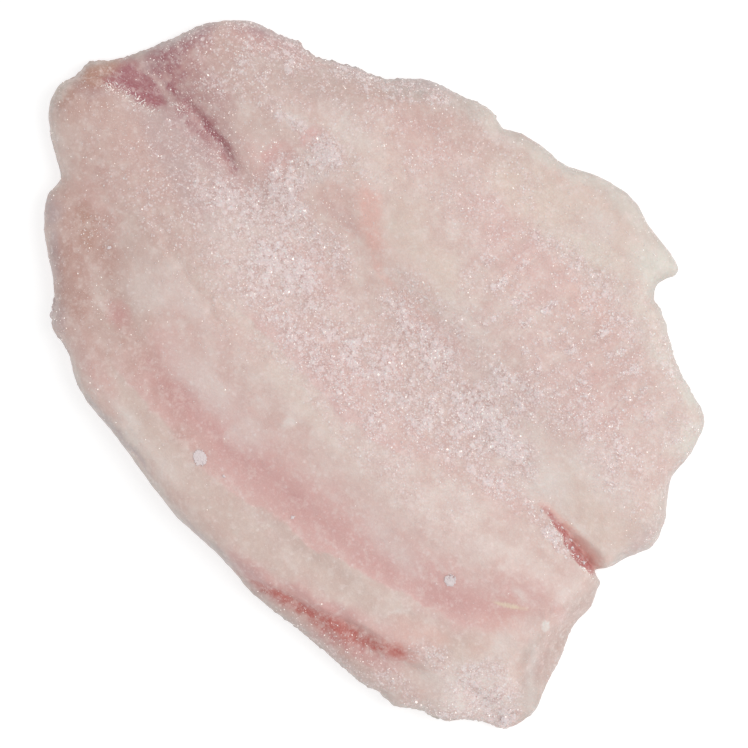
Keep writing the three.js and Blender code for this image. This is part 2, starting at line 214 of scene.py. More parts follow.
# Patches on the top and the sides, by what they are of. Each is its strength, the x and y of its middle,
# half its length and half its width. Some rows add the turn of the length in degrees, and some also how
# soft the edge is.
PATCHES = {
    "powder": [
        (1.0, -38, 7, 5, 9), (0.7, -42, -5, 9, 8), (0.9, -24, -7, 17, 5.5), (0.8, 0, -8, 13, 4.5),
        (0.9, 34, 4, 13, 5.5), (0.9, 10, 5, 13, 4.5), (0.7, 14, -5, 18, 7), (0.7, 36, -3, 14, 5),
        (0.8, -37, 17, 4, 6), (0.9, -48, 16.5, 4, 1.5, 25), (0.35, -60, -4, 8, 3), (0.6, 33, 14, 14, 5, 10),
        (0.55, -46, 34, 9, 3, 30), (0.5, -62, 25, 16, 5, 25), (0.45, -76, 13, 3, 8, 10),
        (0.5, -33, 42.5, 8, 3, 35), (0.5, 17, 43, 14, 2.5, 12), (0.65, 78, -38, 8, 7, 30),
        (0.6, 77, -46, 8, 3, 35), (0.8, 86, -39, 4, 4, 40), (0.5, 60, 20, 7, 6),
        (0.35, 52, -57.4, 15, 1.4, 8), (0.5, 63, -51.5, 6, 3, 15), (0.6, -4, -15, 26, 4),
        (0.8, 6.2, 29, 1.6, 2.4), (0.5, 30, 42, 16, 4), (0.5, 45, 22, 16, 6), (0.5, 6, 22, 3, 4),
        (0.4, 48, 44, 10, 4, -20), (0.7, 58, -2.2, 12, 1.3, -3), (0.5, -30, -15, 20, 4),
        (0.5, -66, 10, 8, 4), (0.65, -49.5, -6, 6, 5), (0.5, 64, -41, 6, 3, 20), (0.4, -60, 17, 12, 5, 10),
        (0.3, -70, -1, 5, 1.2, 10), (0.4, -76, -8.2, 6, 1.2, 20), (0.4, 72, -50, 8, 3, 30),
        (0.8, -28, 1, 9, 5), (0.6, -20, 3, 8, 4), (0.35, 12, 12, 22, 4),
    ],
    "grains": [
        (1.0, -50, -1, 10, 4), (0.9, -46, 3, 10, 9), (1.0, -78, 9, 3, 10, 10), (1.0, -46, 34, 9, 3.5, 30),
        (1.0, -32, 44, 7, 3, 35), (0.8, -62, 24, 15, 5, 25), (0.5, -32, 8, 16, 9), (1.0, 8, 6, 14, 4),
        (0.8, 28, 3, 18, 8), (0.6, 20, -9, 22, 6, 8), (0.5, -4, -15, 24, 5), (0.6, 38, 20, 13, 12),
        (0.55, 16, 43.5, 12, 3, 10), (0.45, 40, 40, 14, 5), (0.4, 52, -1, 12, 3),
        (0.6, -58, -33, 6, 4, -40), (0.6, -47, -42, 7, 3, -35), (0.5, 48, -54.5, 17, 3, 15),
        (0.6, 64, -42, 4, 3), (0.6, 84, -38, 5, 4), (0.5, 75, -47, 8, 3, 30), (0.7, -62, 3, 14, 5),
        (0.4, 55, 32, 14, 9), (0.35, -64, -14, 22, 8), (0.35, -36, -25, 20, 4, -10), (0.35, -20, 36, 14, 9),
        (0.35, -60, 14, 14, 6), (0.7, -50, -53, 4, 2.5, -20), (0.5, 6.2, 29, 1.6, 3),
    ],
    "rose": [
        (0.3, 46, -26, 22, 6, 14), (0.3, 12, -35, 28, 6), (0.4, -8, -14, 18, 3), (0.4, -25, 38, 10, 4, 10),
        (0.45, 8, 36, 16, 6), (0.2, 38, 24, 14, 6), (0.5, 73, -13.2, 8, 2.4), (0.8, -44, 9, 3, 4),
        (0.9, -42, 18, 2.5, 2.5), (0.5, -20, -3, 10, 3.5), (0.4, 60, -23, 13, 5, 25),
        (0.7, -64, 25, 10, 3, 25), (0.4, 22, -11, 12, 3, 10), (0.4, -66, -24, 7, 4),
        (0.4, 61, -31, 8, 3, 30), (0.3, -68, -16, 14, 8), (0.2, -50, 24, 9, 4, 10), (0.3, -22, -25, 12, 3),
        (0.6, 4, -13.5, 14, 5), (0.5, 15, 10, 10, 2), (0.3, -28, -30, 14, 5), (0.4, 78, 12, 2.5, 5, 15),
        (0.5, 81, -12, 2.5, 8, 15), (0.5, -58, 0, 10, 4), (0.5, -46, 2, 8, 6), (0.6, -75, 8, 6, 7),
        (0.6, -62, -30, 9, 4, -30), (0.5, -36, -54, 12, 3, -15), (0.2, 84, -22, 2.5, 9, 20),
        (0.7, 5, 6.5, 4, 1.6), (0.7, 8, -3, 4.5, 2), (0.3, 48, -5, 5, 4), (0.7, 30, -41, 5, 1.8, 15),
        (0.5, -4, -44.5, 6, 2), (0.4, 10, -45.5, 8, 2),
    ],
    "pink": [
        (0.2, 46, 30, 10, 8), (0.3, 50, -31, 8, 2.5, 28), (0.2, 66, -17, 7, 3, 35),
        (0.4, -66, 24, 10, 3, 25), (0.5, -28, -44, 1.4, 0.9), (0.6, -8, -43.5, 2, 1),
        (0.4, -2, -44, 4, 1.2), (0.6, 8, -18.6, 4, 1), (0.4, 82, -25, 2, 4, 25), (0.4, -42, 8, 3, 6),
        (0.3, -24, 10.6, 5, 2), (0.4, -3, -16.5, 14, 2.5), (0.5, 37, -52.6, 9, 1.6, 22),
        (0.5, 23, -58.5, 6, 2, 20), (0.3, 44, -57, 12, 2, 12), (0.6, 29, -58.6, 6, 1.6, 24),
        (0.6, 54, -52.6, 8, 1.3, 16), (0.5, 41, -49.6, 5, 1.6, 22), (0.7, -41, -42, 4, 2.2, -10),
        (0.4, -10, -44.5, 5, 2),
    ],
    "russet": [
        (0.8, -62, -36, 12, 6, -35), (1.0, -55, -44.5, 12, 5, -35), (0.8, -52, -35, 6, 3, -30),
        (0.5, -68, -28, 6, 4), (0.9, -84, -10, 6, 8), (0.9, -84, -14, 5, 8), (0.5, -56, -12, 7, 3.5),
        (0.5, -27, -45, 14, 4, -5), (0.6, -45, -37, 10, 4, -12), (0.6, -60, -30, 4, 3),
        (0.4, -10, -49, 8, 3), (0.5, -68, -25, 8, 5), (0.3, -72, -15, 14, 7), (0.4, -60, -14, 14, 8),
        (0.4, -42, -49, 9, 4, -20), (0.5, -50, -48, 12, 3, -30), (0.35, -50, -22, 22, 5, -8),
        (0.6, -70, 14, 10, 7), (0.6, -72, 19, 7, 7), (0.4, -52, 28, 14, 5, 20), (0.4, -24, 42, 14, 4, 20),
        (0.3, 82, -22, 3, 8, 18), (0.3, 40, 34, 13, 6), (0.5, -42, 36, 12, 4, 30),
        (0.6, 80.5, -12, 2.5, 8, 12),
    ],
    # painted shade: a dull, darker tint on patches that are to look darker
    "dun": [
        (0.25, 12, -55, 40, 6, 2), (0.4, -28, -53, 16, 6, -6), (0.3, -26, 43, 18, 6, 18),
        (0.7, -44, 36, 12, 4, 30), (0.8, 79, -10, 3.5, 9, 15), (0.8, 83, -22, 4, 10, 17),
        (0.3, 52, -58, 18, 2, 8), (0.8, 8, -45.5, 38, 3, 3), (0.4, 53, 4, 5, 3), (0.4, 8, 37, 5, 6),
        (0.8, -27, -46, 16, 5, -6), (0.4, -52, -28, 12, 5, -20), (0.4, 66, -36, 8, 4, 20),
        (0.4, -60, 24, 16, 6, 25), (0.4, 3, 60, 16, 2, 25), (0.5, 60, 43.5, 12, 2, -15),
        (0.5, -12, 51, 12, 2, 25), (0.7, -42, -42, 10, 5, -10), (0.6, -87, -17, 3, 6),
        (0.6, -84, -13, 5, 8), (0.6, -67, -4, 5, 3), (0.5, 78.5, -16, 3, 5, 40), (0.5, 86, -33, 3, 5, 20),
        (0.5, -43, 28, 4, 3), (0.6, -72, -16, 16, 8), (0.8, 50, -54.6, 12, 1.8, 14), (0.5, -50, -14, 14, 8),
        (0.5, 79, 18, 2, 8, 20),
    ],
    "wine": [
        (1.3, -77, -3.6, 7, 3, 10, 0.4), (0.7, -80, -5.4, 5, 1.6, 20, 0.4), (0.75, -77, 5, 5, 5),
        (0.3, -62, 5, 10, 2.6, -4), (0.45, -67, 7, 9, 4), (0.9, -82, -4, 4, 4.5, 10),
        (1.0, -58, 1.9, 6, 1.2, -6, 0.4), (0.15, -62, -2, 12, 2.5), (0.7, -62, -0.2, 7, 1.3),
        (0.6, -50, 0.4, 3, 1.1, -10), (0.4, -85, -8, 3, 5), (0.8, -71, 1.8, 5, 1.4, 8),
        (0.7, -76, 10, 3, 6), (0.7, -71.5, 5, 1.6, 3, -20), (0.5, -78, 16, 3, 6, 20),
        (1.2, -81, -6.4, 3, 1.2, 30, 0.4), (1.5, -75.8, -3.8, 3.6, 1.4, 20, 0.4), (0.4, -66, 26, 10, 2, 25),
    ],
    "ochre": [
        (0.9, -86, -8, 3, 6, 15), (0.4, -87, -16, 2.5, 5), (0.4, -60, -34, 5, 3, -30),
        # the row at 26, 46 is painted shade along the fold of the flap
        (0.22, 26, 46, 5, 1.4, 20), (0.2, 67.2, -20.3, 3.4, 0.5, 38, 0.3),
    ],
    "peach": [
        (0.4, -31, 14, 6, 4, -6), (0.9, -21.5, 17, 7, 3, -38), (0.9, -16, 13, 7, 2.6, -20),
        (0.6, -9, 9.8, 7, 1.4, -8), (0.2, -25, 32, 8, 6), (0.5, 70, -22, 8, 5, 30),
        (0.9, 58.5, -45.4, 5, 1.8, 22, 0.5), (0.4, 74, -31, 6, 5), (0.4, 2, 9, 8, 1.6), (0.4, -6, 13, 8, 4),
        (0.4, 58, -40, 6, 2.5, 25), (0.4, 28, 40, 10, 3), (0.5, 60, -38, 5, 2.5, 25),
    ],
    "cream": [
        (1.0, 2, 47, 12, 6, 10), (0.9, 21, 48, 8, 3.5, 15), (0.6, 16, 55, 16, 5, 10),
        (0.5, -22, -55, 14, 3.5, -3), (0.35, 10, -54, 22, 3.5, 3), (0.35, 38, -45, 16, 3.5, 22),
        (0.6, 72, -34, 9, 5, 20), (0.2, -78, -18, 9, 6), (0.6, -13, 21, 5, 6, -20), (0.5, 75, 16, 5, 8),
        # the rows at -2, 17 and 64, 8 are painted light, on the belly's bulge and on its slope down to the
        # slit
        (0.3, -64, -22, 12, 5), (0.7, -2, 17, 12, 6), (0.5, 64, 8, 14, 5), (0.4, -32, 24, 12, 6),
        (0.6, -8, -23.5, 30, 3), (0.7, 50, 46, 16, 3.5, -15), (0.4, -30, -40, 14, 5),
    ],
    # white membrane, and painted light: the patches at 78, -39 and 74.5, -30 lighten the head's dorsal
    # corner, which faces from the lamp
    "pale": [
        (0.35, 73.5, -8, 2.6, 3.4, 20, 0.3), (1.0, 76.6, -17.4, 1.6, 0.8, -40, 0.3),
        (0.5, 67, -17, 1.6, 1.1), (0.7, 3, -29.5, 0.9, 1.6), (0.5, 60, -16, 1, 1),
        (0.5, -22, -55.5, 5, 1.6), (0.4, -8, -57, 5, 2), (0.5, 60, 18, 3, 1.2, 20),
        (0.6, 52, -40, 3, 0.5, 60), (0.9, -48, 17, 4, 1.2, 25, 0.4), (0.5, -12, 50, 4, 1.5, 20),
        (0.5, 62, 3.6, 8, 0.7, 2), (0.3, 79, -13.5, 0.5, 1.1, 0, 0.4), (0.5, 74.5, -26, 1.6, 1.2, 30),
        (0.5, 74.5, -30, 3.5, 8, 12), (0.4, -36, 26, 8, 4), (0.4, -33, 17, 5, 2), (0.3, -3, 14, 8, 4),
        (1.0, 78, -39, 9, 7, 30), (0.8, -36, 14, 4, 5), (0.7, 46, 5, 12, 5), (0.5, -34, -9, 10, 8),
        (0.5, 60, 15, 10, 4), (0.5, 11, 15, 8, 4), (0.5, 18, 53, 4, 3), (0.4, 74, -20, 3, 3),
        (0.5, -16, -38, 10, 4), (0.4, 40, -31, 8, 3), (0.25, 10, -21, 32, 6), (0.25, -26, -12, 14, 8),
        (0.3, 32, 13, 16, 4), (0.5, -3, 12, 5, 2.5), (0.5, -41, -35, 4, 4), (0.4, -36, -28, 10, 3),
        (0.4, -1, -38, 5, 4), (0.4, 42, -13, 5, 3), (0.4, 53, -17, 3, 3), (0.5, -26, 22, 5, 2.5),
        (0.4, 24, 9, 9, 2), (0.5, -17, -57.5, 6, 2),
    ],
    "blood": [
        (0.3, 57, -46.5, 4, 1.5, 25),
    ],
    "fat": [
        (0.6, 67.0, -20.5, 3.2, 0.42, 38, 0.3), (0.35, 69.8, -18.2, 1.4, 0.4, 50, 0.3),
    ],
    # painted shade on thin edges and on the cut face at the head end
    "slate": [
        (0.35, 83.5, -24, 4, 14, 17), (0.3, 79, -8, 3, 8, 12), (0.6, -40, 39.5, 14, 3, 32),
        (0.5, -27, 48, 10, 3, 25), (0.25, -54, 27, 12, 6, 25), (0.5, 75, 21, 3.5, 7, 25),
        (0.2, 15, 60, 20, 2, 3), (0.3, -20, -60, 14, 1, -3),
    ],
    # painted light: thin edges, the hook and the tail's tip lightened as if lit through from behind
    "rim": [
        (0.5, -18, 51, 6, 2, 10), (1.0, 34, 57.5, 7, 6.5), (0.9, 68, 37, 3.5, 6.5, -20),
        (0.8, 46, 48.5, 7, 1.8, -22), (0.9, 56, 43.5, 13, 3, -12), (0.8, -89, -18, 1.6, 5),
        (0.6, 2, 57, 14, 2, 22), (0.4, 79, 16, 2, 8, 10), (0.6, 78, -46, 9, 3, 38),
        (0.5, 22, 46, 12, 4, 10), (0.6, 16, 61, 16, 2, 2), (0.5, 78, -38, 6, 7, 30),
        (0.4, 44, 46, 14, 4, -20),
    ],
    # a grey-mauve tint: painted shade on edges, and the flesh's own dull mauve in the patches inland
    "mauve": [
        (0.8, -46, 38.5, 11, 2.4, 30), (0.7, -33, 46.5, 8, 2.4, 38), (0.6, -66, 28, 11, 2, 25),
        (0.6, -78, 15, 2.6, 9, 15), (0.6, -80, 7, 3, 7, 15), (0.4, -62, -3, 12, 3), (0.15, -87, -18, 3, 6),
        (0.15, 48, -58, 18, 1.4, 9), (0.2, 24, -60, 8, 2.4, 12), (0.5, -70, -38, 3, 3),
        (0.35, -52, -52, 6, 2, -35), (0.35, -58, -9, 16, 4, -10), (0.3, -44, -3, 8, 4),
        (0.4, -84, -13, 4, 2, 40), (0.6, -24, -60.4, 14, 0.9, -3), (0.5, 14, -61.4, 10, 0.9, 2),
        (0.3, 77, 12, 3, 7, 10), (0.4, -60, -46, 10, 2, -38),
    ],
    "ragged": [
        (1.0, -52, 34, 16, 7, 30), (0.8, -78, 10, 6, 16, 10), (0.9, 78, -46, 12, 8, 35),
        (0.8, -85, -8, 5, 8), (0.8, 48, -60, 20, 4, 8), (0.9, -50, -53, 8, 5, -20),
        (1.0, 66, -0.8, 9, 1.6, -5), (0.6, -24, 48, 12, 5, 30), (0.5, 50, 47, 14, 4, -20),
        (0.5, 82, -20, 5, 10, 20),
    ],
}


def frost_cover(skin):
    """How thickly powder frost lies, from 0 to 1."""
    belly = 0.24 * rise(skin.wy, 10, 16) * (1 - rise(skin.wy, 48, 54))
    belly *= 1 - 0.8 * skin.patch(-8, 18, 16, 9)
    loose = 0.26 * span(skin.wy, -22, 0, 5) * (1 - rise(skin.wx, 30, 60)) * rise(skin.wx, -80, -60)
    furrows = 0.5 * rise(-ribs(skin), 0.4, 0.9) * rise(skin.middling + 0.6 * skin.small, -0.1, 0.5)
    cover = np.maximum.reduce([skin.patches("powder"), belly + furrows, loose])
    return np.clip(cover * (1 + 0.7 * skin.middling + 0.5 * skin.small), 0.02, 1) * skin.top


def grain_cover(skin):
    """How thickly loose ice grains lie, from 0 to 1."""
    belly = 0.22 * rise(skin.wy, 8, 14) * (1 - 0.8 * skin.patch(-8, 18, 14, 9))
    belly *= 1 - 0.7 * skin.patch(2, 48, 12, 5)
    loin = 0.10 * (1 - rise(skin.wx, -40, 0)) * (1 - rise(skin.wy, -12, 0)) + 0.02
    furrows = 0.3 * rise(-ribs(skin), 0.3, 0.9)
    cover = np.maximum(skin.patches("grains"), np.maximum(belly + furrows, loin))
    uneven = 1 + 0.7 * skin.middling + skin.small
    return np.clip(cover * uneven, 0, 1) * (skin.top + 0.3 * skin.side)


def clump_cover(skin, frost):
    """Heaps of packed frost, 1 to 3 mm across, which run together under thick powder, from 0 to 1."""
    return rise(skin.heaps + 1.1 * frost + 0.3 * skin.fine, 0.95, 1.6) * rise(frost, 0.1, 0.35)


def hoar_cover(skin):
    """How thickly needles of hoar frost stand, from 0 to 1."""
    tail = bell(skin.past(TAIL_LIP, 0.3) + 2.6, 1.3) * span(skin.wx, -81, -70, 2)
    tail *= np.interp(skin.x, [-80, -72], [1.3, 0.8]) * rise(skin.small, -0.7, 0.1)
    tail = np.maximum(tail, 0.7 * skin.patch(-66.6, 0, 2, 1.2))
    slit = bell(skin.y - line_at(skin.x, SLIT_WALL) + 1.1, 0.5) * span(skin.x, 57, 75, 1)
    return np.maximum(tail, 0.6 * slit) * skin.top


def colour_masks(skin):
    """The share of each tint over the flesh, from 0 to 1, by the tint's name."""
    x, y, wx = skin.x, skin.y, skin.wx
    uneven = 1 + 0.5 * skin.middling + 0.4 * skin.small
    patchy = 1 + 0.45 * skin.small + 0.4 * skin.fine
    marks = ribs(skin)

    # the red muscle band, and the flesh that torn membrane has bared
    septum = skin.past(SEPTUM)
    above_step = rise(skin.past(BAND_STEP), -0.5, 0.5)
    core = bell(septum - 0.5, 4.2) * span(wx, -18, 62, 16) * (0.55 + 0.3 * skin.broad)
    band = np.maximum(0.85 * bell(septum - 3, 8), 0.8 * span(septum, -4.5, 4, 6)) * span(wx, -26, 66, 16)
    membrane = skin.past(MEMBRANE_STEP, 0.6)
    bared = rise(membrane, -0.3, 0.3) * bell(membrane, 4) * span(wx, -18, 22, 8)

    # the cut at the head end, with a painted highlight beside its crest, on the dorsal side
    crest = skin.past(HEAD_CREST, 0.3)
    face = rise(crest, -0.2, 0.8) * rise(x, 72, 76) * (1 - rise(y, -12, -6))
    crest_highlight = bell(crest + 3, 1.8) * rise(x, 73, 77)

    # the gash by the dorsal edge
    gash = y - line_at(x, GASH_CORE) + 0.5 * skin.small
    stations = [20, 26, 30, 34, 38, 42, 46, 50, 54, 58, 61]
    width = np.interp(x, stations, [0.9, 1.4, 1.9, 1.7, 1.6, 2.0, 2.4, 2.5, 2.1, 1.8, 1.2])
    strength = np.interp(x, stations, [0.4, 0.7, 0.9, 0.95, 1.0, 1.2, 1.1, 1.0, 0.9, 0.9, 0.5])
    blood = bell(gash, width) * strength * patchy * span(x, 20, 60, 3)
    stained = 0.7 * bell(gash + 3, 3) * span(x, 44, 58, 6) * patchy
    slope = bell(skin.past(GASH_CLIFF) - 1, 2.5) * span(wx, 20, 56, 8)

    # the walls of the slit, redder and darker towards its bottom: the flesh's own red, and painted shade at
    # the foot of the narrow slit
    opening = y - line_at(x, SLIT_WALL)
    flank = (opening > -0.9 - 0.8 * span(x, 66, 71, 2)) * rise(x, 53, 57) * (1 - rise(x, 73, 76))
    across = (opening + rise(x, 62, 68) * 0.4) / np.interp(x, [54, 60, 68, 76], [0.5, 0.8, 1.9, 2.2])
    flushed = 0.7 * flank * (1 - rise(across, 0.2, 1.3)) * rise(x, 54, 60)
    foot_wine_and_shade = flank * (1 - rise(across, 0.0, 0.8)) * rise(x, 54, 60)
    by_slit = rise(x, 50, 53) * (1 - rise(x, 74, 77)) * (np.abs(y) < 5)

    # the split at the tail
    groove = skin.past(TAIL_GROOVE, 0.3)
    reach = np.interp(x, [-70, -58, -50], [3.6, 3.0, 2.0])
    split = np.where(groove > 0, bell(groove, reach), bell(groove, 1.7)) * span(x, -70, -50, 4)
    wine = np.maximum(0.75 * split * (1 + 0.7 * skin.middling), skin.patches("wine") * patchy)

    # painted shade on the dorsal sides, and on the thin edges all round, except by the slit and less at the
    # tail's dorsal corner
    dorsal_edge_shade = 0.5 * skin.side * (1 - rise(y, -10, 0)) * (1 - rise(x, 60, 70))
    corner = (1 - rise(x, -45, -30)) * (1 - rise(y, -30, -20))
    inland = skin.inland() * (1 - 0.3 * skin.small)
    thin = bell(inland, 1.5) * (0.5 + 0.15 * skin.middling) * (1 - 0.5 * corner) * (1 - by_slit)

    # one of these, on the thin edges, is painted light, as if lit through from behind
    masks = {name: skin.patches(name) for name in ("cream", "ochre", "rim", "fat")}
    masks |= {
        # painted shade: the dull tint on all the steep sides and on its patches
        "dun": np.maximum(skin.patches("dun") * uneven, 0.9 * skin.side * (1 - by_slit)),
        "rose": np.maximum.reduce([skin.patches("rose") * uneven, above_step * band * (1 + 0.3 * marks),
                                   0.35 * face, 0.6 * slope, 0.8 * bared]),
        "peach": np.maximum(skin.patches("peach"), flank * (1 - rise(across, 0.9, 2.4))),
        "russet": skin.patches("russet") * uneven,
        "pink": np.maximum.reduce([above_step * core, skin.patches("pink") + 0.1 * marks, stained]),
        # painted shade on the dorsal sides, and the grey-mauve patches
        "mauve": np.maximum(dorsal_edge_shade, skin.patches("mauve")),
        # the slit's foot is partly painted shade
        "wine": np.maximum(wine, foot_wine_and_shade),
        "blood": np.maximum.reduce([blood, skin.patches("blood") * patchy, flushed]),
        # white membrane, painted light, and the painted highlight beside the head's crest
        "pale": np.maximum(skin.patches("pale"), 0.5 * crest_highlight),
        # painted shade on the thin edges
        "slate": np.maximum(skin.patches("slate"), thin),
    }
    masks = {name: (1 - skin.under) * share for name, share in masks.items()}
    lateral = bell(y - line_at(x, LATERAL), 5)
    # the underside takes the grey-mauve tint all over
    masks["mauve"] = np.maximum(masks["mauve"], 0.3 * skin.under)
    masks["wine"] = np.maximum(masks["wine"], 0.8 * skin.under * lateral)
    return masks


def ribs(skin):
    """The marks that the ribs left in the belly lobe, from -1 to 1."""
    leaning = 0.7 * skin.x + 0.3 * skin.wx - 0.005 * skin.x * (skin.y - 20)
    wave = np.cos(2 * math.pi * (leaning - 3.6) / RIB_PITCH)
    return wave * span(skin.wx, 6, 58, 8) * span(skin.wy, 20, 38, 6)


def top_relief(skin, frost, clumps, size):
    """How far each place of the top rises, in mm."""
    wx = skin.wx
    lift = size.swell / MM * (skin.broad + 0.45 * skin.middling + 0.2 * skin.small + 0.08 * skin.fine)
    packed = clumps * (0.6 + 0.8 * skin.heaps) + frost * (0.6 * skin.fine + 0.3 * skin.small)
    lift += size.frost_depth / MM * packed

    septum = skin.past(SEPTUM)
    lift -= size.valley / MM * bell(septum, 4) * span(wx, -45, 66, 12)
    step = skin.past(BAND_STEP)
    lift += size.step / MM * (1 - rise(step, -0.5, 0.5)) * bell(step, 5) * span(wx, -18, 70, 8)
    membrane = skin.past(MEMBRANE_STEP, 0.6)
    lift += 0.8 * size.step / MM * rise(membrane, -0.4, 0.4) * bell(membrane, 6) * span(wx, -24, 36, 6)
    flap = skin.past(FLAP_LINE)
    lift -= size.step / MM * rise(flap, -0.3, 0.5) * bell(flap, 7) * span(wx, -22, 32, 6)

    cliff = skin.past(GASH_CLIFF, 0.5)
    torn = (1 - rise(cliff, -0.9, 0.1)) * bell(np.minimum(cliff, 0), 6) * span(wx, 22, 48, 8)
    lift -= size.gash / MM * torn * (1 + 0.5 * skin.small)

    groove = skin.past(TAIL_GROOVE, 0.3)
    lift -= size.groove / MM * bell(groove, 1.2) * span(wx, -65, -50, 3) * (1 + 0.8 * skin.middling)
    lip = skin.past(TAIL_LIP, 0.3)
    lift -= size.groove / MM * rise(lip, -0.4, 0.8) * bell(np.maximum(lip, 0), 5) * span(wx, -84, -71, 3)
    lift -= 0.5 * size.crease / MM * bell(skin.past(CENTRE_CREASE, 0.5), 1.4) * span(wx, -30, 18, 8)
    lift -= size.crease / MM * bell(skin.past(LOIN_CREASE), 1.2) * span(wx, -52, -24, 6)
    crest = skin.past(HEAD_CREST, 0.3)
    ridge = np.where(crest < 0, bell(crest, 4), 1 - rise(crest, 0, 1.2))
    lift += size.crest / MM * ridge * rise(skin.x, 71, 75)

    return lift + size.rib / MM * ribs(skin)


def under_relief(skin, size):
    """How far the underside is pressed in, in mm: chevrons of muscle and the line between them."""
    centre = skin.wy - line_at(skin.wx, LATERAL)
    chevron = skin.wx + 5 * np.cos(2 * math.pi * centre / CHEVRON_WIDTH)
    furrows = bell(np.mod(chevron, MYOMERE_PITCH) - MYOMERE_PITCH / 2, 0.9)
    return size.rib / MM * (0.8 * furrows + bell(centre, 1.6) + 0.3 * np.abs(skin.middling))


def in_scene(name, mesh):
    """A new object in the scene, at the origin, that holds a mesh."""
    holder = bpy.data.objects.new(name, mesh)
    bpy.context.scene.collection.objects.link(holder)
    return holder


def finished_mesh(holder):
    """The mesh that an object's modifiers make of it. The object is removed."""
    result = bpy.data.meshes.new_from_object(holder.evaluated_get(bpy.context.evaluated_depsgraph_get()))
    holder.modifiers.clear()
    bpy.data.objects.remove(holder)
    return result


def remeshed(mesh, cell, passes=0):
    """A mesh melted into one closed skin of even faces, and smoothed in some passes."""
    holder = in_scene("remeshed", mesh)
    remesh = holder.modifiers.new("Remesh", "REMESH")
    remesh.mode = "VOXEL"
    remesh.voxel_size = cell
    if passes:
        smooth = holder.modifiers.new("Smooth", "SMOOTH")
        smooth.factor = 0.5
        smooth.iterations = passes
    return finished_mesh(holder)


def even_skin(cell):
    """The solid's mesh as a closed skin of small even faces."""
    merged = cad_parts[NODE].data.copy()
    solid = bmesh.new()
    solid.from_mesh(merged)
    bmesh.ops.remove_doubles(solid, verts=solid.verts, dist=1e-6)
    solid.to_mesh(merged)
    solid.free()
    merged.materials.clear()
    return remeshed(merged, cell, 6)


def thin_underside(mesh):
    """Brings the faces under the limit by joining those of the flat underside."""
    holder = in_scene("thinned", mesh)
    group = holder.vertex_groups.new(name="underside")
    group.add([v.index for v in mesh.vertices if v.normal.z < -0.5 and v.co.z < 0.5 * MM], 1, "REPLACE")
    mesh.calc_loop_triangles()
    thinner = holder.modifiers.new("Thin", "DECIMATE")
    thinner.ratio = min(1, THINNED_TRIANGLES / len(mesh.loop_triangles))
    thinner.vertex_group = group.name
    return finished_mesh(holder)


def add_piece(name, mesh, material=None):
    """Links a piece at the origin, riding on the fillet's body, and checks its size."""
    mesh.calc_loop_triangles()
    if len(mesh.loop_triangles) > MOST_TRIANGLES:
        raise RuntimeError(f"{name} has {len(mesh.loop_triangles)} triangles")
    if not len(mesh.polygons):
        raise RuntimeError(f"{name} is empty")
    mesh.name = name
    piece = in_scene(name, mesh)
    if material is not None:
        mesh.materials.clear()
        mesh.materials.append(material)
    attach(piece, BODY)
    return piece


def store(mesh, name, values):
    """Keeps a number for each vertex, which materials and geometry nodes read by its name."""
    attribute = mesh.attributes.new(name, "FLOAT", "POINT")
    attribute.data.foreach_set("value", values.astype(np.float32))


class Wire:
    """A number in a node tree, which Python's operators join with Math nodes."""

    def __init__(self, tree, socket):
        self.tree = tree
        self.socket = socket

    def math(self, operation, other=0.0, clamp=False):
        return self.tree.add("ShaderNodeMath", {"operation": operation, "use_clamp": clamp},
                             {0: self, 1: other})

    def __add__(self, other):
        return self.math("ADD", other)

    __radd__ = __add__

    def __sub__(self, other):
        return self.math("SUBTRACT", other)

    def __rsub__(self, other):
        return self.tree.add("ShaderNodeMath", {"operation": "SUBTRACT"}, {0: other, 1: self})

    def __mul__(self, other):
        return self.math("MULTIPLY", other)

    __rmul__ = __mul__

    def __pow__(self, other):
        return self.math("POWER", other)

    def within_one(self):
        return self.math("ADD", 0.0, clamp=True)

    def rise(self, start, end):
        """0 before start, 1 after end, and smooth between."""
        return self.tree.add("ShaderNodeMapRange", {"interpolation_type": "SMOOTHSTEP"},
                             {"Value": self, "From Min": start, "From Max": end})


